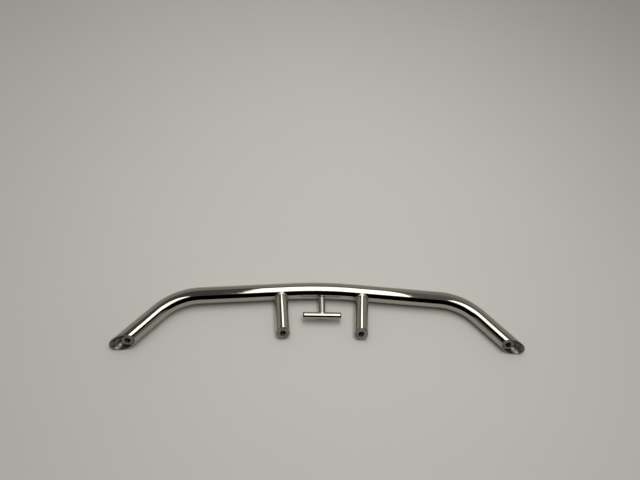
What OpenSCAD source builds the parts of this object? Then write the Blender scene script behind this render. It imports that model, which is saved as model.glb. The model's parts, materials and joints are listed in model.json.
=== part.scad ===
// Bent-tube grab rail for a boat, with two posts and a T-shaped line hook.
// The rail lies on its side: +X runs along it, -Y points to its feet, +Z is up.

/* [Rail tube] */
// Outside diameter of the main tube
tube_d = 25; // [24:0.1:30]
// Wall thickness of the main tube
tube_wall = 1.5; // [1.2:0.1:2]
// Fall of each half of the rail away from the crown, in degrees
run_slope = 4.3; // [3:0.1:6]
// Centreline radius of the gentle bend at the crown
crown_radius = 640; // [400:10:660]
// Distance from the middle to the corner of each leg bend
corner_x = 216; // [180:1:260]

/* [Legs] */
// Angle of each leg below the length of the rail, in degrees
leg_angle = 49; // [44:0.5:56]
// Centreline radius of the leg bends
leg_bend_radius = 84; // [70:1:95]
// Length of a leg from its bend corner to the middle of its foot
leg_length = 97.7; // [88:0.1:115]
// Slope of the cut across each foot, to sit on a cambered deck, in degrees
foot_slope = 3.5; // [1:0.5:6]
// Lean of the rail away from square to the deck, cut into every foot, in degrees
foot_lean = 25; // [15:0.5:28]

/* [Posts] */
// Diameter of the two solid posts
post_d = 20; // [19:0.1:21]
// Distance from the middle to the foot of each post
post_x = 57; // [56:0.5:65]
// Height of the crown centreline above the post feet
post_drop = 70.3; // [66:0.1:80]

/* [Line hook] */
// Diameter of the two rods of the hook
rod_d = 10; // [8:0.1:11]
// Height of the crown centreline above the hook bar
hook_drop = 41.6; // [36:0.1:46]
// Length of the hook bar
bar_length = 57; // [40:1:70]
// Edge break around the ends of the hook bar
bar_edge = 0.6; // [0.3:0.1:1]

/* [Foot inserts] */
// Diameter of the round insert welded inside each leg
insert_d = 16; // [14:0.1:16]
// Thickness of the insert
insert_thickness = 10; // [8:0.5:12]
// Distance the insert sits inside the mouth of the leg
insert_recess = 0.6; // [0.4:0.1:1]
// Least gap between the insert and the inside of the tube at the mouth
insert_gap = 0.2; // [0.1:0.1:0.5]

/* [Threaded holes] */
// Hole drilled for an M8 thread
tap_drill_d = 6.8; // [6.5:0.1:7]
// Diameter of the countersink at the mouth of each thread
countersink_d = 8.6; // [8:0.1:9]
// Depth of the threaded hole in each post, square to its slanting foot
post_hole_depth = 12; // [8:0.5:12]

/* [Welds] */
// Size of the weld bead around each post
post_bead = 1.2; // [1:0.1:2]
// Size of the weld beads around the hook stem
stem_bead = 1; // [0.8:0.1:1.6]
// Depth of the weld between the insert and the tube
insert_bead = 3; // [2:0.5:4]
// Distance the weld is set back from the face of the insert
weld_recess = 0.4; // [0.2:0.1:1]

/* [Hidden] */
// Fineness of curves
$fn = 96;
// Amount by which cutting tools run past the faces they cut
over = 1;
// Size of the block that trims the legs
trim = 120;
// Bends are this much thicker than straight tube, so each straight ends on a clean edge inside a bend
bend_swell = 0.05;
lap = 0.5;
// Angle of the drill point at the bottom of the post holes, to its axis
drill_point = 59;
tube_r = tube_d / 2;
bend_r = tube_r + bend_swell;
bore_r = tube_r - tube_wall;
post_r = post_d / 2;
rod_r = rod_d / 2;
insert_r = insert_d / 2;
tap_r = tap_drill_d / 2;
countersink_r = countersink_d / 2;
countersink_depth = countersink_r - tap_r;
// Straight run between the crown bend and a leg bend
run_start = [crown_radius * sin(run_slope), -crown_radius * (1 - cos(run_slope))];
corner_rise = crown_radius * (1 / cos(run_slope) - 1);
bend_angle = leg_angle - run_slope;
bend_tangent = leg_bend_radius * tan(bend_angle / 2);
corner = [corner_x, corner_rise - corner_x * tan(run_slope)];
run_length = (corner_x - run_start[0]) / cos(run_slope) - bend_tangent;
run_end = corner - bend_tangent * [cos(run_slope), -sin(run_slope)];
bend_centre = run_end - leg_bend_radius * [sin(run_slope), cos(run_slope)];
leg_start = corner + bend_tangent * [cos(leg_angle), -sin(leg_angle)];
foot = corner + leg_length * [cos(leg_angle), -sin(leg_angle)];
// Angle between a leg and the plane of its foot, and the turn of the mouth's long axis in that plane
cut_side = leg_angle - foot_slope;
cut_angle = asin(cos(foot_lean) * sin(cut_side));
toe_turn = atan(sin(foot_lean) * tan(cut_side));
mouth_half = tube_r / sin(cut_angle);
leg_run = leg_length - bend_tangent + mouth_half;
// The insert lies towards the heel, as far as the two sides of the bore let it
insert_offset = -sqrt(pow(bore_r, 2) - pow(insert_r + insert_gap, 2)) / tan(cut_angle);
// Posts stand square to the run, and end inside the tube before they are coped
post_length = (corner_rise + post_drop - post_x * tan(run_slope)) * cos(run_slope);
// Moves the middle of the whole rail to the origin
rail_back = bend_r;
mouth_reach = sqrt(pow(sin(foot_slope), 2) + pow(sin(leg_angle) * tan(foot_lean), 2));
rail_front = foot[1] - mouth_reach * tube_r / sin(cut_side);
centre_y = -(rail_back + rail_front) / 2;

// Sets a piece drawn about the crown centreline down on the floor
module set_down() {
    translate([0, centre_y, bend_r]) children();
}

// Right-hand pieces are drawn as they are, and left-hand ones are mirrored
module handed(side) {
    mirror([side < 0 ? 1 : 0, 0, 0]) children();
}

// Straight rod from a point, heading down from the length of the rail, and lapping into the bends
module straight(start, heading, length, radius) {
    translate([start[0], start[1], 0])
        rotate([0, 90, -heading])
            translate([0, 0, -lap])
                cylinder(h = length + 2 * lap, r = radius);
}

// Crown bend as a solid bar, symmetrical about the middle
module crown(radius) {
    translate([0, -crown_radius, 0])
        rotate([0, 0, 90 - run_slope])
            rotate_extrude(angle = 2 * run_slope)
                translate([crown_radius, 0])
                    circle(r = radius + bend_swell);
}

// Straight run on the right of the crown as a solid bar
module run_bar(radius) {
    straight(run_start, run_slope, run_length, radius);
}

// Bend on the right between the run and the leg as a solid bar
module leg_bend(radius) {
    translate([bend_centre[0], bend_centre[1], 0])
        rotate([0, 0, 90 - leg_angle])
            rotate_extrude(angle = bend_angle)
                translate([leg_bend_radius, 0])
                    circle(r = radius + bend_swell);
}

// Right leg as a solid bar, running on past its slanting cut
module leg_bar(radius) {
    straight(leg_start, leg_angle, leg_run, radius);
}

// The whole bent shape as a solid bar
module bent_bar(radius) {
    crown(radius);
    for (side = [-1, 1])
        handed(side) {
            run_bar(radius);
            leg_bend(radius);
            leg_bar(radius);
        }
}

// Leans things over from square to the rail to square to the deck
module leaning() {
    rotate([-foot_lean, 0, 0]) children();
}

// Places things on the plane of the right foot: X slopes to the toe, Y goes up into the leg
module at_foot() {
    translate([foot[0], foot[1], 0])
        rotate([0, 0, -foot_slope]) leaning()
            rotate([0, toe_turn, 0]) children();
}

// Places things on the axis of the right post, with Y going up from its foot
module at_post() {
    translate([post_x, -post_drop, 0])
        rotate([0, 0, -run_slope]) children();
}

// Rod that starts at a height along Y
module upright(bottom, length, radius) {
    translate([0, bottom, 0])
        rotate([-90, 0, 0])
            cylinder(h = length, r = radius);
}

// Everything on the deck side of a foot
module deck_side() {
    translate([-trim / 2, -trim, -trim / 2])
        cube(trim);
}

// Drilled and countersunk hole, open at the bottom face
module tapped_hole(bottom, depth) {
    upright(bottom - over, depth + over, tap_r);
    translate([0, bottom, 0])
        rotate([-90, 0, 0])
            cylinder(h = countersink_depth, r1 = countersink_r, r2 = tap_r);
}

// One bent tube with both ends cut on a slant
module rail_tube() {
    color("silver") set_down() difference() {
        bent_bar(tube_r);
        bent_bar(bore_r);
        for (side = [-1, 1])
            handed(side) at_foot() deck_side();
    }
}

// Round tapped insert inside the mouth of a leg, against its inner side
module foot_insert(side) {
    color("dimgray") set_down() handed(side) at_foot() translate([insert_offset, 0, 0]) difference() {
        upright(insert_recess, insert_thickness, insert_r);
        tapped_hole(insert_recess, insert_thickness + over);
    }
}

// Weld that fills the space between the insert and the inner side of the tube
module insert_weld(side) {
    color("gray") set_down() handed(side) difference() {
        intersection() {
            leg_bar(bore_r);
            at_foot()
                translate([-trim, insert_recess + weld_recess, -trim / 2])
                    cube([trim + insert_offset + over, insert_bead, trim]);
        }
        at_foot() translate([insert_offset, 0, 0])
            upright(0, insert_thickness, insert_r);
    }
}

// Solid post, coped to the tube, with a slanting foot drilled square for a thread
module post(side) {
    color("silver") set_down() handed(side) difference() {
        at_post() upright(-post_r, post_length + post_r, post_r);
        run_bar(tube_r);
        at_post() leaning() {
            deck_side();
            tapped_hole(0, post_hole_depth);
            translate([0, post_hole_depth, 0])
                rotate([-90, 0, 0])
                    cylinder(h = tap_r / tan(drill_point), r1 = tap_r, r2 = 0);
        }
    }
}

// Bead that follows the saddle between a post and the tube
module post_weld(side) {
    color("gray") set_down() handed(side) difference() {
        intersection() {
            at_post() upright(post_length / 2, post_length / 2, post_r + post_bead);
            run_bar(tube_r + post_bead);
        }
        at_post() upright(0, post_length, post_r);
        run_bar(tube_r);
    }
}

// Full-length hook bar without its edge breaks
module bar_rod(radius) {
    translate([-bar_length / 2, -hook_drop, 0])
        rotate([0, 90, 0])
            cylinder(h = bar_length, r = radius);
}

// Stem of the hook, coped to the tube above and to the bar below
module hook_stem() {
    color("silver") set_down() difference() {
        upright(-hook_drop, hook_drop, rod_r);
        crown(tube_r);
        bar_rod(rod_r);
    }
}

// Bar of the hook, with its end edges broken
module hook_bar() {
    color("silver") set_down() translate([-bar_length / 2, -hook_drop, 0]) rotate([0, 90, 0]) {
        translate([0, 0, bar_edge])
            cylinder(h = bar_length - 2 * bar_edge, r = rod_r);
        cylinder(h = bar_edge, r1 = rod_r - bar_edge, r2 = rod_r);
        translate([0, 0, bar_length - bar_edge])
            cylinder(h = bar_edge, r1 = rod_r, r2 = rod_r - bar_edge);
    }
}

// Bead between the stem and the tube
module stem_weld() {
    color("gray") set_down() difference() {
        intersection() {
            upright(-hook_drop / 2, hook_drop / 2, rod_r + stem_bead);
            crown(tube_r + stem_bead);
        }
        upright(-hook_drop, hook_drop, rod_r);
        crown(tube_r);
    }
}

// Bead between the stem and the bar
module bar_weld() {
    color("gray") set_down() difference() {
        intersection() {
            upright(-hook_drop, hook_drop / 2, rod_r + stem_bead);
            bar_rod(rod_r + stem_bead);
        }
        upright(-hook_drop, hook_drop, rod_r);
        bar_rod(rod_r);
    }
}

rail_tube();
foot_insert(-1);  // foot_insert_left
foot_insert(1);  // foot_insert_right
insert_weld(-1);  // insert_weld_left
insert_weld(1);  // insert_weld_right
post(-1);  // post_left
post(1);  // post_right
post_weld(-1);  // post_weld_left
post_weld(1);  // post_weld_right
hook_stem();
hook_bar();
stem_weld();
bar_weld();
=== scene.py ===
# %% [markdown]
# # A polished boat grab rail
# A grab rail is one long bent tube with a threaded foot at each end, two solid posts in the middle, and
# here a T-shaped hook for a line. The packed model gives the size and place of every piece. Packed meshes
# are made of small flat facets, and a mirror finish shows every facet, so each piece is rebuilt here as a
# much finer skin that stands for its node. The box of the packed model is kept first.

# %% Load the packed model
import json
from math import asin, atan, cos, pi, radians, sin, sqrt, tan

import bmesh
import bpy
import numpy as np
from mathutils import Matrix, Vector


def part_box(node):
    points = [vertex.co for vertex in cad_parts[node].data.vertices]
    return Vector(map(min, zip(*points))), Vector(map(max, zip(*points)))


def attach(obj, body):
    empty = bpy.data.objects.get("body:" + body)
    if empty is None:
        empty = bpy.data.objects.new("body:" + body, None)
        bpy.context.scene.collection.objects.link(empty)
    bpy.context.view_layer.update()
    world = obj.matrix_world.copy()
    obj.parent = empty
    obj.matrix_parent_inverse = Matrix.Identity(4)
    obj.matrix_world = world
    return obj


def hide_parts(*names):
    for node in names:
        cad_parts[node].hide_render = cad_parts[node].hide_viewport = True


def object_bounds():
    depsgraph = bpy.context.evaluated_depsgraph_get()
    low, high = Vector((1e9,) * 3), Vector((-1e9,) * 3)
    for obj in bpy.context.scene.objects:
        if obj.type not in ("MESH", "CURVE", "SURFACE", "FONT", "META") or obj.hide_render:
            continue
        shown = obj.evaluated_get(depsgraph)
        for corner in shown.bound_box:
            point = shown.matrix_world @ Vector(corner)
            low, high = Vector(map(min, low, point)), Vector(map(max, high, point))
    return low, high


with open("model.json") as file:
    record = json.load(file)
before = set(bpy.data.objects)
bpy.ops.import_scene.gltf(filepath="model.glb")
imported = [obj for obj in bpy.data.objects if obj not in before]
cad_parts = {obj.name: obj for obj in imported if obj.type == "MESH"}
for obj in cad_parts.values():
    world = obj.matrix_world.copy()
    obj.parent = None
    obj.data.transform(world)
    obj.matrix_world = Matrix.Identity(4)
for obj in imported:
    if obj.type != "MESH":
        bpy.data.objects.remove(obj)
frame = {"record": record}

cad_box = [list(corner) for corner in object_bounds()]
print("packed model, metres:", cad_box)

# %% [markdown]
# ## Sizes
# A maker works from a drawing: stock sizes, bend radii and angles. They are set down once, in metres and
# radians, and everything else is arithmetic. The place of the crown comes from the box of the packed tube,
# and the sum at the end shows how well the drawing and the packed mounts agree.

# %% The drawing of the rail
MM = 0.001
tube_r, bore_r, bend_swell = 12.5 * MM, 11 * MM, 0.05 * MM
run_slope, leg_angle = radians(4.3), radians(49)
crown_radius, leg_bend_radius = 640 * MM, 84 * MM
corner_x, leg_length = 216 * MM, 97.7 * MM
foot_slope, foot_lean = radians(3.5), radians(25)
post_r, post_x, post_drop = 10 * MM, 57 * MM, 70.3 * MM
rod_r, hook_drop, bar_length = 5 * MM, 41.6 * MM, 57 * MM
insert_r, insert_thickness, insert_recess, insert_gap = 8 * MM, 10 * MM, 0.6 * MM, 0.2 * MM
thread_major, thread_minor, thread_pitch = 4 * MM, 3.35 * MM, 1.25 * MM
tap_r, countersink_r, post_hole_depth = 3.4 * MM, 4.3 * MM, 12 * MM
drill_point, edge_break = radians(59), 0.35 * MM
post_bead, stem_bead = 1.2 * MM, 1 * MM

rail_low, rail_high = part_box("rail_tube")
crown_y = rail_high.y - tube_r - bend_swell
crown_z = (rail_low.z + rail_high.z) / 2
print("crown centreline at y", round(crown_y, 5), "z", round(crown_z, 5))

# %% Corners and bends, measured from the crown
corner_rise = crown_radius * (1 / cos(run_slope) - 1)
corner = np.array([corner_x, corner_rise - corner_x * tan(run_slope), 0])
bend_tangent = leg_bend_radius * tan((leg_angle - run_slope) / 2)
run_heading = np.array([cos(run_slope), -sin(run_slope), 0])
leg_heading = np.array([cos(leg_angle), -sin(leg_angle), 0])
run_start = crown_radius * np.array([sin(run_slope), cos(run_slope) - 1, 0])
run_end = corner - bend_tangent * run_heading
leg_start = corner + bend_tangent * leg_heading
bend_centre = run_end - leg_bend_radius * np.array([sin(run_slope), cos(run_slope), 0])
foot = corner + leg_length * leg_heading
cut_side = leg_angle - foot_slope
cut_angle = asin(cos(foot_lean) * sin(cut_side))
toe_turn = atan(sin(foot_lean) * tan(cut_side))
insert_offset = -sqrt(bore_r ** 2 - (insert_r + insert_gap) ** 2) / tan(cut_angle)
post_length = (corner_rise + post_drop - post_x * tan(run_slope)) * cos(run_slope)


def turned(axis, angle):
    """A 3 x 3 turn, for points written as rows."""
    return np.array(Matrix.Rotation(angle, 3, axis)).T


foot_turn = turned("Y", toe_turn) @ turned("X", -foot_lean) @ turned("Z", -foot_slope)
face_turn = turned("X", -foot_lean)
post_turn = turned("Z", -run_slope)
post_foot = np.array([post_x, -post_drop, 0])


def from_foot(points):
    """Foot frame to crown frame: X runs to the toe, Y goes up into the leg."""
    return np.asarray(points) @ foot_turn + foot


def from_post(points):
    """Post frame to crown frame: Y goes up the post from the middle of its foot."""
    return np.asarray(points) @ post_turn + post_foot


def placed(points, side=1):
    """Crown frame to the packed model's frame, mirrored for the left-hand pieces."""
    return np.asarray(points) * [side, 1, 1] + [0, crown_y, crown_z]


mounts = {m["name"]: m["pos_m"] for m in frame["record"]["mounts"]}
drawn = placed(from_foot([[insert_offset, insert_recess + countersink_r - tap_r + 0.5 * MM, 0]]))[0]
print("drawing against the packed foot thread, mm:", np.round((drawn - mounts["foot_thread_right"]) / MM, 3))

# %% [markdown]
# ## Writing shader maths as Python
# Shader nodes are easier to read as arithmetic. `Wire` wraps one output of a node, and its operators add
# Math nodes, so `1 - mask` works as written. `Nodes` is one tree of nodes, and its `add` method makes any
# other node: the settings are set first, then each socket takes a value or a wire. `Finish` is the tree of
# one material, and the room further down is plain `Nodes`. Colours and vectors go through Mix and Vector
# Math nodes, because a Math node would turn a colour grey.


# %% A wire with arithmetic
class Wire:
    def __init__(self, nodes, socket):
        self.nodes, self.socket = nodes, socket

    def math(self, operation, *values):
        sockets = dict(enumerate(values))
        return self.nodes.add("ShaderNodeMath", {"operation": operation}, sockets)

    def __add__(self, other):
        return self.math("ADD", self, other)

    def __sub__(self, other):
        return self.math("SUBTRACT", self, other)

    def __rsub__(self, other):
        return self.math("SUBTRACT", other, self)

    def __mul__(self, other):
        return self.math("MULTIPLY", self, other)

    def __pow__(self, other):
        return self.math("POWER", self, other)

    __radd__, __rmul__ = __add__, __mul__


# %% A tree of nodes, and a finish
class Nodes:
    def __init__(self, tree):
        self.tree = tree

    def add(self, kind, settings=None, sockets=None, output=0):
        """Any node: its settings first, then its sockets."""
        node = self.tree.nodes.new(kind)
        for key, value in (settings or {}).items():
            setattr(node, key, value)
        for key, value in (sockets or {}).items():
            self.feed(node.inputs[key], value)
        return Wire(self, node.outputs[output])

    def feed(self, socket, value):
        if isinstance(value, Wire):
            self.tree.links.new(value.socket, socket)
        else:
            socket.default_value = value

    def noise(self, scale, where, detail=3, roughness=0.5):
        return self.add("ShaderNodeTexNoise", None,
                        {"Vector": where, "Scale": scale, "Detail": detail, "Roughness": roughness})

    def spread(self, value, low, high):
        """Stretches the part of a value between low and high over 0 to 1."""
        return self.add("ShaderNodeMapRange", {"clamp": True},
                        {"Value": value, "From Min": low, "From Max": high})


class Finish(Nodes):
    def __init__(self, name):
        self.material = bpy.data.materials.new(name)
        self.material.use_nodes = True
        super().__init__(self.material.node_tree)
        self.shader = self.tree.nodes["Principled BSDF"]

    def surface(self, **sockets):
        """Feeds the shader: Base_Color=..., Roughness=... and so on."""
        for key, value in sockets.items():
            self.feed(self.shader.inputs[key.replace("_", " ")], value)

    def stretched(self, where, scale):
        return self.add("ShaderNodeVectorMath", {"operation": "MULTIPLY"}, {0: where, 1: scale})

    def tint(self, mask, dark, light):
        """A colour that goes from dark to light as the mask goes from 0 to 1."""
        sockets = {0: mask, 6: (*dark, 1), 7: (*light, 1)}
        return self.add("ShaderNodeMix", {"data_type": "RGBA"}, sockets, 2)

    def relief(self, height, depth, strength=1.0):
        return self.add("ShaderNodeBump", None, {"Height": height, "Distance": depth, "Strength": strength})

    def place(self):
        """Position in the piece's own axes, in metres."""
        return self.add("ShaderNodeTexCoord", None, None, 3)

    def skin(self):
        """Around and along each piece, in metres."""
        return self.add("ShaderNodeTexCoord", None, None, 2)


print("operators ready:", [name for name in vars(Wire) if name.startswith("__r")])

# %% [markdown]
# ## Polished stainless steel
# A mirror finish is mostly reflection, so what makes it look real is small: fine lines left by the buffing
# wheel, which run round the tube, a very gentle unevenness of the drawn tube, and faint smudges from
# handling that dull the shine in patches. The lines are made from noise that is squeezed along the tube and
# stretched around it, with the around-and-along coordinates that every piece is given below.


# %% Polished steel
def polished_steel(name, dullness=0.0, waviness=1.0):
    steel = Finish(name)
    lines = steel.noise(1.0, steel.stretched(steel.skin(), (60, 5200, 1)), detail=2)
    drags = steel.noise(1.0, steel.stretched(steel.skin(), (900, 40, 1)), detail=1)
    smudge = steel.spread(steel.noise(34, steel.place(), detail=5, roughness=0.6), 0.48, 0.72)
    pits = steel.spread(steel.noise(2600, steel.place(), detail=0), 0.74, 0.80)
    sway = steel.noise(42, steel.place(), detail=1)
    steel.surface(
        Base_Color=steel.tint(smudge * 0.6 + pits * 0.4, (0.45, 0.44, 0.38), (0.39, 0.378, 0.325)),
        Metallic=1.0,
        Roughness=0.035 + dullness + smudge * 0.06 + lines * 0.03 + pits * 0.1,
        Normal=steel.relief(lines * 0.006 + drags * 0.004 + sway * waviness - pits * 0.02, 0.05 * MM))
    return steel.material


tube_steel = polished_steel("polished_tube")
bar_steel = polished_steel("polished_bar", 0.02, 0.6)
print("polished finishes:", tube_steel.name, bar_steel.name)

# %% [markdown]
# ## Cut, turned and drilled steel
# The feet are sawn and faced, the inserts are turned on a lathe, and the bore of the tube is left as it was
# drawn. These surfaces are duller than the polished outside. Turned faces carry rings, so the ring pattern
# follows the distance from the centre. The bore has streaks along its length and a dark bloom of dust.
# All of them are also coloured much darker than the polished steel. This is painted shade: the faces of the
# feet and inserts turn away from the overhead light, and the bore lies inside the tube.


# %% Turned and sawn steel
def worked_steel(name, shades, roughness, marks, depth, grime):
    steel = Finish(name)
    rings = steel.noise(1.0, steel.stretched(steel.skin(), marks), detail=2)
    stain = steel.spread(steel.noise(210, steel.place(), detail=4, roughness=0.65), 0.42, 0.68)
    nicks = steel.spread(steel.noise(1500, steel.place(), detail=1), 0.66, 0.74)
    steel.surface(
        Base_Color=steel.tint(stain * grime + rings * 0.2, shades[1], shades[0]),
        Metallic=1.0,
        Roughness=roughness + stain * 0.14 + rings * 0.12,
        Normal=steel.relief(rings * 0.5 - nicks * 0.5, depth))
    return steel.material


# Inserts: the turned rings and stains are real, and the dark colour is painted shade on a face turned away
# from the light.
insert_painted_shade_steel = worked_steel("turned_insert_painted_shade", ((0.13, 0.125, 0.12), (0.30, 0.29, 0.275)), 0.26,
                            (30, 5200, 1), 0.02 * MM, 0.7)
# Faced feet: the rings and stains are real, and the dark colour is painted shade on faces turned away from
# the light.
foot_painted_shade_steel = worked_steel("faced_foot_painted_shade", ((0.13, 0.125, 0.118), (0.31, 0.30, 0.28)), 0.2,
                          (30, 4200, 1), 0.012 * MM, 0.6)
# Bore: the streaks and dust patches are real, and the dark colour is painted shade inside the tube.
bore_painted_shade_steel = worked_steel("drawn_bore_painted_shade", ((0.09, 0.086, 0.08), (0.32, 0.31, 0.29)), 0.3,
                          (1500, 45, 1), 0.02 * MM, 0.8)
# Cut thread: the almost black colour is painted shade deep inside the tapped holes.
thread_painted_shade_steel = worked_steel("cut_thread_painted_shade", ((0.015, 0.014, 0.013), (0.06, 0.057, 0.054)), 0.34,
                            (400, 2500, 1), 0.01 * MM, 0.8)
print("worked finishes:", [m.name for m in (insert_painted_shade_steel, foot_painted_shade_steel, bore_painted_shade_steel, thread_painted_shade_steel)])

# %% [markdown]
# ## Weld metal
# Stainless beads are laid in small overlapping ripples and then brushed bright. The ripples are real shape,
# made further down. The finish adds what brushing leaves: a satin surface, small bright and dull patches,
# and a trace of straw colour where the heat stayed longest.

# %% Weld metal
weld = Finish("brushed_weld")
weld_grain = weld.noise(900, weld.place(), detail=4, roughness=0.6)
weld_patch = weld.spread(weld.noise(260, weld.place(), detail=3), 0.4, 0.65)
weld.surface(
    Base_Color=weld.tint(weld_patch, (0.36, 0.34, 0.295), (0.44, 0.43, 0.38)),
    Metallic=1.0,
    Roughness=0.16 + weld_patch * 0.1 + weld_grain * 0.08,
    Normal=weld.relief(weld_grain, 0.03 * MM))
weld_steel = weld.material
print("weld finish:", weld_steel.name)

# %% [markdown]
# ## Skins from rings
# Every piece here is a stack of rings joined by quads: a tube is rings along its length, a turned part is
# rings of changing radius, and a bead is rings that hug the joint. A stack either joins up with itself,
# like the wall of a hollow tube, or is closed at each end with a fan of triangles. Each corner also gets
# its place around and along the skin, in metres, for the finishes.


# %% Join rings into a skin
SHARP_ANGLE = radians(38)
AROUND_TUBE, AROUND_ROD = 128, 96


def skin(rings, finishes, looped=False, side=1, kinds=None):
    """A mesh from rings of points in the crown frame. kinds gives the finish of each gap between rings."""
    rings = placed(rings, side)
    count, around = rings.shape[:2]
    step = np.linalg.norm(rings - np.roll(rings, 1, 0), axis=2).mean(1)
    along = np.concatenate([[0], np.cumsum(step[1:]), [np.sum(step)]])
    girth = np.linalg.norm(rings - np.roll(rings, 1, 1), axis=2).sum(1).max() / around
    bm = bmesh.new()
    grid = [[bm.verts.new(point) for point in ring] for ring in rings]
    where = bm.loops.layers.uv.new("around_along")
    for i in range(count if looped else count - 1):
        for j in range(around):
            near, far = grid[i], grid[(i + 1) % count]
            face = bm.faces.new((near[j], near[(j + 1) % around], far[(j + 1) % around], far[j]))
            face.material_index = kinds[i] if kinds else 0
            corners = ((j, i), (j + 1, i), (j + 1, i + 1), (j, i + 1))
            for loop, (a, b) in zip(face.loops, corners):
                loop[where].uv = (a * girth, along[b])
    if not looped:
        for ring, kind in ((grid[0], 0), (grid[-1], kinds[-1] if kinds else 0)):
            middle = bm.verts.new(sum((v.co for v in ring), Vector()) / around)
            for j in range(around):
                face = bm.faces.new((ring[j], ring[(j + 1) % around], middle))
                face.material_index = kind
    bmesh.ops.recalc_face_normals(bm, faces=bm.faces)
    mesh = bpy.data.meshes.new("skin")
    for finish in finishes:
        mesh.materials.append(finish)
    for face in bm.faces:
        face.smooth = True
    bm.to_mesh(mesh)
    bm.free()
    mesh.set_sharp_from_angle(angle=SHARP_ANGLE)
    return mesh


def fit(name, mesh, node):
    """Hangs a piece on the packed model in place of one of its nodes."""
    piece = bpy.data.objects.new(name, mesh)
    bpy.context.scene.collection.objects.link(piece)
    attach(piece, "root")
    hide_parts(node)
    low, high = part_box(node)
    corners = np.array([v.co for v in mesh.vertices])
    beyond = max((np.array(low) - corners.min(0)).max(), (corners.max(0) - np.array(high)).max())
    print(f"{name}: {len(mesh.vertices)} points, beyond its node by at most {beyond / MM:.2f} mm")
    return piece


def rounded(start, corner_ring, end, steps=4):
    """Rings that turn a sharp edge into a small round, between two rings on either side of it."""
    u = np.linspace(0, 1, steps + 1)[1:-1, None, None]
    return (1 - u) ** 2 * start + 2 * u * (1 - u) * corner_ring + u ** 2 * end


def circle(radius, height=0.0):
    """A ring round the Y axis. The radius and height may be numbers or one value for each point."""
    turn = np.linspace(0, 2 * pi, AROUND_ROD, endpoint=False)
    return np.stack([radius * np.cos(turn), height + 0 * turn, radius * np.sin(turn)], 1)


# %% [markdown]
# ## The bent tube
# The tube is drawn once for the right half, as rings along the outside from the crown to the foot, over the
# cut face, and back up the bore. The left half is its mirror image. In the last straight stretch the rings
# lean over little by little, so that the last one lies exactly on the slanting cut: lines along the leg
# stay straight, and the cut comes out as a true ellipse. A small round takes the sharpness off both edges
# of the cut.


# %% Stations along the right half
def stations():
    """Centres and headings of the square rings, from the crown to the end of the leg bend."""
    found = [(crown_radius * np.array([sin(a), cos(a) - 1, 0]), a) for a in np.linspace(0, run_slope, 15)]
    found += [(run_start + (run_end - run_start) * t, run_slope) for t in np.linspace(0, 1, 13)[1:]]
    found += [(bend_centre + leg_bend_radius * np.array([sin(a), cos(a), 0]), a)
              for a in np.linspace(run_slope, leg_angle, 57)[1:]]
    return found


turn = np.linspace(0, 2 * pi, AROUND_TUBE, endpoint=False)[:, None]


def square_ring(centre, heading, radius):
    outward = np.array([sin(heading), cos(heading), 0])
    return centre + radius * (np.cos(turn) * outward + np.sin(turn) * np.array([0, 0, 1]))


def leg_rings(radius, short, steps):
    """Rings down the straight leg that lean over to end on the cut, or a little short of it."""
    first = square_ring(leg_start, leg_angle, radius)
    deck = np.array([0, 1, 0]) @ foot_turn
    reach = ((foot - first) @ deck / (leg_heading @ deck))[:, None]
    return [first + leg_heading * (reach - short) * t for t in np.linspace(0, 1, steps + 1)[1:]]


def moved_in(ring, distance):
    """The same ring drawn in towards the middle of the foot along the cut face."""
    arm = ring - foot
    return foot + arm * (1 - distance / np.linalg.norm(arm, axis=1)[:, None])


# %% Skin of the tube
outer_break, inner_break = 0.3 * MM, 0.25 * MM
outside = [square_ring(c, h, tube_r) for c, h in stations()] + leg_rings(tube_r, outer_break, 24)
outer_edge = leg_rings(tube_r, 0, 1)[-1]
inner_edge = leg_rings(bore_r, 0, 1)[-1]
face_rings = [moved_in(outer_edge, outer_break * t) for t in (1, 1.5)]
face_rings += [moved_in(inner_edge, -inner_break * t) for t in (1.5, 1)]
bore_down = [square_ring(c, h, bore_r) for c, h in stations()[::2]] + leg_rings(bore_r, inner_break, 12)
bore_up = bore_down[::-1]
half = outside + list(rounded(outside[-1], outer_edge, face_rings[0])) + face_rings
half += list(rounded(face_rings[-1], inner_edge, bore_up[0])) + bore_up
kinds = [0] * (len(outside) + 3) + [1] * 3
kinds += [2] * (len(half) - len(kinds))
half = np.array(half)
whole = np.concatenate([half, (half[::-1] * [-1, 1, 1])[1:-1]])
tube_kinds = kinds[:-1] + kinds[:-1][::-1]
tube_mesh = skin(whole, (tube_steel, foot_painted_shade_steel, bore_painted_shade_steel), looped=True, kinds=tube_kinds)
fit("bent_tube", tube_mesh, "rail_tube")

# %% [markdown]
# ## Real threads
# The holes are small but they sit in the middle of each foot, so the thread is cut as real shape. Going
# round the hole once moves the thread on by one pitch: that is all a helix is, so the radius at each point
# depends on its depth and on its angle together. The thread fades in under the countersink and out at the
# bottom.


# %% Wall of a threaded hole
ROWS_PER_PITCH = 9
ROOT_FLAT, FLANK = 0.14, 0.7


def thread_rings(top, bottom, fade_out):
    """Rings down a threaded hole, round the Y axis, from one depth to another."""
    rows = np.arange(top, bottom, thread_pitch / ROWS_PER_PITCH)
    angle = np.linspace(0, 2 * pi, AROUND_ROD, endpoint=False)
    rings = []
    for depth in rows:
        phase = (depth / thread_pitch - angle / (2 * pi)) % 1
        tooth = np.clip((1 - abs(2 * phase - 1) - ROOT_FLAT) / FLANK, 0, 1)
        fade = np.clip((bottom - depth) / thread_pitch, 0, 1) if fade_out else 1
        cone = countersink_r - (depth - top)
        radius = np.maximum(thread_minor + (thread_major - thread_minor) * tooth * fade, cone)
        rings.append(circle(radius, depth))
    return rings


print("rows in a post thread:", len(thread_rings(0, post_hole_depth, True)))

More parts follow.
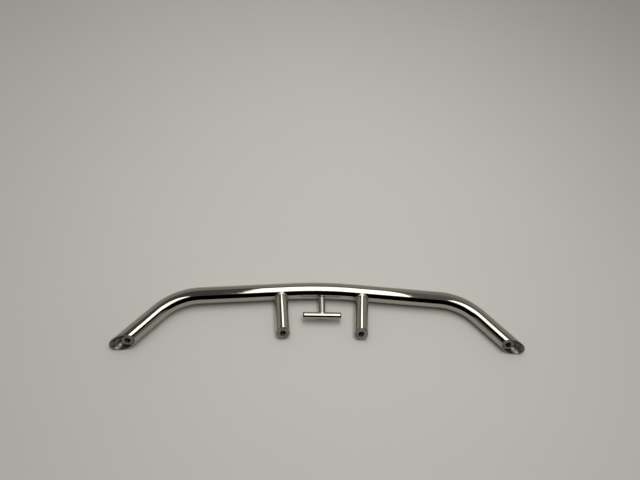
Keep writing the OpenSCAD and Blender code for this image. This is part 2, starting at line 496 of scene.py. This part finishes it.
# %% [markdown]
# ## Posts
# Each post is solid bar. Its top is coped, which means cut to a saddle so that it hugs the tube, and its
# foot is sawn at the lean of the rail, faced, and drilled square to that face. The rings run from the
# saddle down the outside, over the edge, across the face and down the hole to the cone that the drill
# leaves.


# %% Skin of a post
def saddle(radius, axis_height, wall_r, sense, sink=0.0):
    """Heights at which a rod of that radius meets a tube that lies along X. sense is -1 from below."""
    z = radius * np.sin(np.linspace(0, 2 * pi, AROUND_ROD, endpoint=False))
    return axis_height + sense * (np.sqrt(np.maximum(wall_r ** 2 - z ** 2, 0)) - sink)


def post_rings():
    edge = edge_break
    top = circle(post_r, saddle(post_r, post_length, tube_r, -1, 0.4 * MM))
    foot_edge = circle(post_r)
    foot_edge[:, 1] = foot_edge[:, 2] * tan(foot_lean)
    down = [top + (foot_edge + [0, edge, 0] - top) * t for t in np.linspace(0, 1, 12)]
    inset = foot_edge * (1 - edge / np.linalg.norm(foot_edge, axis=1)[:, None])
    drill = [circle(tap_r, post_hole_depth),
             circle(0.02 * MM, post_hole_depth + tap_r / tan(drill_point))]
    rim = circle(countersink_r + 0.15 * MM) @ face_turn
    hole = np.array(thread_rings(0.1 * MM, post_hole_depth, True) + drill) @ face_turn
    face = [inset + (rim - inset) * t for t in np.linspace(0, 1, 7)]
    rings = down + list(rounded(down[-1], foot_edge, inset)) + face + list(hole)
    shades = [0] * (len(down) + 3) + [1] * 7
    return np.array(rings), shades + [2] * (len(rings) - len(shades))


rings, kinds = post_rings()
for side, hand in ((-1, "left"), (1, "right")):
    mesh = skin(from_post(rings), (bar_steel, foot_painted_shade_steel, thread_painted_shade_steel), side=side, kinds=kinds)
    fit(f"solid_post_{hand}", mesh, f"post_{hand}")

# %% [markdown]
# ## Foot inserts
# A round insert is turned from bar, drilled and tapped right through, and welded inside each leg. It stands
# towards the heel of the slanting mouth, so a dark gap is left at the toe. Its face keeps the fine rings
# that the lathe tool leaves, as very shallow grooves in the skin.


# %% Skin of an insert
def insert_rings():
    edge, groove = edge_break, 0.012 * MM
    radii = np.linspace(insert_r - edge, countersink_r + 0.15 * MM, 26)
    face = [circle(r, groove * (i % 2)) for i, r in enumerate(radii)]
    rim = circle(insert_r, edge)
    bore = thread_rings(0.1 * MM, insert_thickness, False)
    back = [circle(thread_major + 0.2 * MM, insert_thickness), circle(insert_r - edge, insert_thickness)]
    side_wall = [circle(insert_r, insert_thickness - edge), circle(insert_r, 4 * MM)]
    rings = [rim] + list(rounded(rim, circle(insert_r), face[0])) + face + bore + back + side_wall
    shades = [0] * (4 + len(face)) + [1] * len(bore)
    return np.array(rings), shades + [0] * (len(rings) - len(shades))


rings, kinds = insert_rings()
set_in = from_foot(rings + [insert_offset, insert_recess, 0])
for side, hand in ((-1, "left"), (1, "right")):
    mesh = skin(set_in, (insert_painted_shade_steel, thread_painted_shade_steel), looped=True, side=side, kinds=kinds)
    fit(f"tapped_insert_{hand}", mesh, f"foot_insert_{hand}")

# %% [markdown]
# ## Welds round the inserts
# The gap between the round insert and the oval bore is filled with weld on the heel side. It is set back
# from the mouth, sags between the two surfaces, and has the lumps of metal that was laid by hand in a tight
# place. Each ring here is a slice through the fill: along its front, from the insert to the bore, and back
# behind.


# %% Skin of an insert weld
def bore_reach(angle, depth):
    """Distance from the axis of the insert to the bore, in a direction, at a depth behind the mouth."""
    shift = (insert_offset + depth / tan(cut_angle)) * sin(cut_angle)
    slope_x, slope_z = cos(angle) * sin(cut_angle), sin(angle)
    a, b, c = slope_x ** 2 + slope_z ** 2, shift * slope_x, shift ** 2 - bore_r ** 2
    return (-b + sqrt(b * b - a * c)) / a


def insert_weld_rings():
    front, back, across = 1.0 * MM, 4 * MM, np.linspace(0, 1, 9)
    slices = []
    for k, angle in enumerate(np.linspace(pi - radians(96), pi + radians(96), 120)):
        lump = 0.1 * MM * sin(k * 0.9) + 0.06 * MM * sin(k * 0.37 + 1)
        points = []
        for depth, spread in ((front, across), (back, across[::-1])):
            for t in spread:
                sag = 0.4 * MM * (1 - (2 * t - 1) ** 2) if depth == front else 0
                reach = (insert_r - 0.3 * MM) * (1 - t) + (bore_reach(angle, depth) + 0.3 * MM) * t
                points.append([insert_offset + reach * cos(angle), depth + sag + lump * (depth == front),
                               reach * sin(angle)])
        slices.append(points)
    return np.array(slices)


fill = from_foot(insert_weld_rings())
for side, hand in ((-1, "left"), (1, "right")):
    fit(f"heel_weld_{hand}", skin(fill, (weld_steel,), side=side), f"insert_weld_{hand}")

# %% [markdown]
# ## The line hook
# The hook is a short stem that ends on a cross bar, both of the same rod. The stem is coped at both ends,
# and the ends of the bar are turned to a small bevel so that a line doesn't chafe on them.

# %% Stem and bar
stem_top = circle(rod_r, saddle(rod_r, 0, tube_r, -1, 0.3 * MM))
stem_low = circle(rod_r, saddle(rod_r, -hook_drop, rod_r, 1, 0.3 * MM))
stem = np.array([stem_top + (stem_low - stem_top) * t for t in np.linspace(0, 1, 10)])
fit("hook_rod_stem", skin(stem, (bar_steel,)), "hook_stem")

bevel, half_bar = 0.6 * MM, bar_length / 2
profile = [(0.3 * MM, half_bar), (2.5 * MM, half_bar), (rod_r - bevel - 0.1 * MM, half_bar),
           (rod_r - bevel, half_bar - 0.02 * MM), (rod_r - 0.1 * MM, half_bar - bevel + 0.1 * MM),
           (rod_r, half_bar - bevel - 0.15 * MM), (rod_r, half_bar - 3 * MM), (rod_r, half_bar - 12 * MM)]
profile += [(radius, -x) for radius, x in profile[::-1]]
bar = np.array([circle(radius, x) for radius, x in profile])[:, :, [1, 0, 2]] - [0, hook_drop, 0]
fit("hook_rod_bar", skin(bar, (bar_steel,)), "hook_bar")

# %% [markdown]
# ## Fillet beads
# A fillet weld is a band of metal that runs round the foot of a rod where it meets a tube. It touches the
# rod a little above the joint and the tube a little outside it, and bulges between them. Its surface
# carries the ripples of the moving pool, curved like stacked coins. The two contact lines follow the saddle
# exactly.


# %% Skin of a fillet bead
def bead_rings(rod, leg, axis_height, wall_r, sense, ripple):
    """Slices across a bead, all the way round a rod that meets a tube lying along X."""
    count = 288
    slices = []
    for k in range(count):
        angle = 2 * pi * k / count
        ray = np.array([cos(angle), 0, sin(angle)])

        def height(z, extra):
            return axis_height + sense * sqrt(max((wall_r + extra) ** 2 - z ** 2, 0))

        z_rod = rod * ray[2]
        z_wall = max(-0.985 * wall_r, min(0.985 * wall_r, (rod + leg) * ray[2]))
        on_rod = rod * ray + [0, height(z_rod, leg), 0]
        on_wall = np.array([(rod + leg) * ray[0], height(z_wall, 0), z_wall])
        root = np.array([rod * ray[0], height(z_rod, 0), z_rod])
        out = (on_rod + on_wall) / 2 - root
        out /= np.linalg.norm(out)
        points = []
        for t in np.linspace(0, 1, 9):
            wave = cos(ripple * angle + 1.6 * (2 * t - 1) ** 2)
            bulge = (0.16 * leg + 0.035 * MM * wave) * 4 * t * (1 - t)
            points.append(on_rod * (1 - t) + on_wall * t + out * bulge)
        points.append(on_wall - out * 0.35 * MM + [0, -sense * 0.15 * MM, 0])
        points.append(on_rod - ray * 0.35 * MM)
        slices.append(points)
    return np.swapaxes(np.array(slices), 0, 1)


post_fillet = from_post(bead_rings(post_r, post_bead, post_length, tube_r, -1, 56))
for side, hand in ((-1, "left"), (1, "right")):
    fit(f"post_bead_{hand}", skin(post_fillet, (weld_steel,), looped=True, side=side), f"post_weld_{hand}")
fit("stem_bead_top", skin(bead_rings(rod_r, stem_bead, 0, tube_r, -1, 30), (weld_steel,), looped=True),
    "stem_weld")
fit("stem_bead_low", skin(bead_rings(rod_r, stem_bead, -hook_drop, rod_r, 1, 30), (weld_steel,), looped=True),
    "bar_weld")

# %% [markdown]
# ## Floor
# The rail lies on a plain, pale, matt sheet. A floor that is perfectly even looks false under a mirror, so
# its colour and roughness drift by a very small amount. It isn't part of the object.

# %% Floor sheet
sheet = Finish("matt_sheet")
drift = sheet.noise(3, sheet.place(), detail=3)
tooth = sheet.noise(900, sheet.place(), detail=2)
sheet.surface(Base_Color=sheet.tint(drift * 0.7 + tooth * 0.3, (0.640, 0.625, 0.595), (0.675, 0.660, 0.630)),
              Roughness=0.75 + drift * 0.1, Normal=sheet.relief(tooth, 0.02 * MM))
floor_reach, floor_squares = 6, 8
floor_bm = bmesh.new()
bmesh.ops.create_grid(floor_bm, x_segments=floor_squares, y_segments=floor_squares, size=floor_reach)
floor_mesh = bpy.data.meshes.new("floor")
floor_bm.to_mesh(floor_mesh)
floor_bm.free()
floor_mesh.materials.append(sheet.material)
floor = bpy.data.objects.new("floor", floor_mesh)
floor.location.z = cad_box[0][2]
bpy.context.scene.collection.objects.link(floor)
print("floor at z", floor.location.z)

# %% [markdown]
# ## Light
# A mirror finish shows the room, so the lights are placed by what the tube should show. One large soft
# light overhead gives the broad white band along the top of the run. It reaches a little behind the viewer,
# and the dark room beyond it gives the black line under the band. A wide fill from above, which the steel
# doesn't mirror, keeps the floor pale. The world of the scene is a patchy grey room, dark on the viewer's
# side.


# %% Lights and room
WARM_WHITE, ROOM_WHITE = (1.0, 0.985, 0.96), (1.0, 0.985, 0.955, 1)


def soft_light(name, place, size, watts, aim=(0, 0, 0), mirrored=True):
    lamp = bpy.data.lights.new(name, "AREA")
    lamp.shape, lamp.size, lamp.size_y = "RECTANGLE", size[0], size[1]
    lamp.energy, lamp.color = watts, WARM_WHITE
    light = bpy.data.objects.new(name, lamp)
    light.location = place
    light.rotation_euler = (Vector(aim) - Vector(place)).to_track_quat("-Z", "Y").to_euler()
    light.visible_camera = False
    light.visible_glossy = mirrored
    bpy.context.scene.collection.objects.link(light)


soft_light("ceiling_window", (0.09, 0.065, 1.0), (0.49, 1.07), 4.5, aim=(0.09, 0.065, 0))
soft_light("wide_fill", (-0.2, 0.6, 1.7), (1.5, 1.5), 9.6, mirrored=False)

room = bpy.data.worlds.new("grey_room")
room.use_nodes = True
bpy.context.scene.world = room
paint = Nodes(room.node_tree)
way = paint.add("ShaderNodeTexCoord", None, None, 0)
split = paint.add("ShaderNodeSeparateXYZ", None, {0: way})
across, back, up = (Wire(paint, split.socket.node.outputs[i]) for i in range(3))
viewer_side = paint.spread(back * -1, 0.08, 0.3)
low_enough = 1 - paint.spread(up, 0.80, 0.88)
not_beside = 1 - paint.spread(across ** 2, 0.45, 0.75)
shadow = viewer_side * low_enough * not_beside
ceiling = paint.spread(up, 0.62, 0.82)
patches = paint.noise(5.0, way, detail=3)
ceiling_glow = 0.085 + paint.spread(across, 0.05, 0.5) * 0.16
glow = (0.36 * (1 - ceiling) + ceiling_glow * ceiling) * (0.55 + patches * 0.9) * (1 - shadow)
seen = paint.add("ShaderNodeLightPath", None, None, 0)
backdrop = room.node_tree.nodes["Background"]
paint.feed(backdrop.inputs["Strength"], glow * (1 - seen) + seen * 0.5)
backdrop.inputs["Color"].default_value = ROOM_WHITE

# %% [markdown]
# ## Camera
# The camera looks down at the rail from in front and above, as a person holding a phone would. Its lens is
# wide, so the near feet look a little larger than the crown.

# %% Camera
lens = bpy.data.cameras.new("phone_lens")
lens.lens, lens.sensor_width = 27, 36
camera = bpy.data.objects.new("camera", lens)
right, upward = Vector((0.997637, -0.015781, 0.066873)), Vector((-0.025523, 0.818515, 0.573917))
camera.matrix_world = Matrix((right, upward, right.cross(upward))).transposed().to_4x4()
camera.location = (-0.0513, -0.3181, 0.6582)
bpy.context.scene.collection.objects.link(camera)
bpy.context.scene.camera = camera
bpy.context.scene.view_settings.view_transform = "Standard"
print("camera turned, degrees:", [round(a * 180 / pi, 2) for a in camera.rotation_euler])
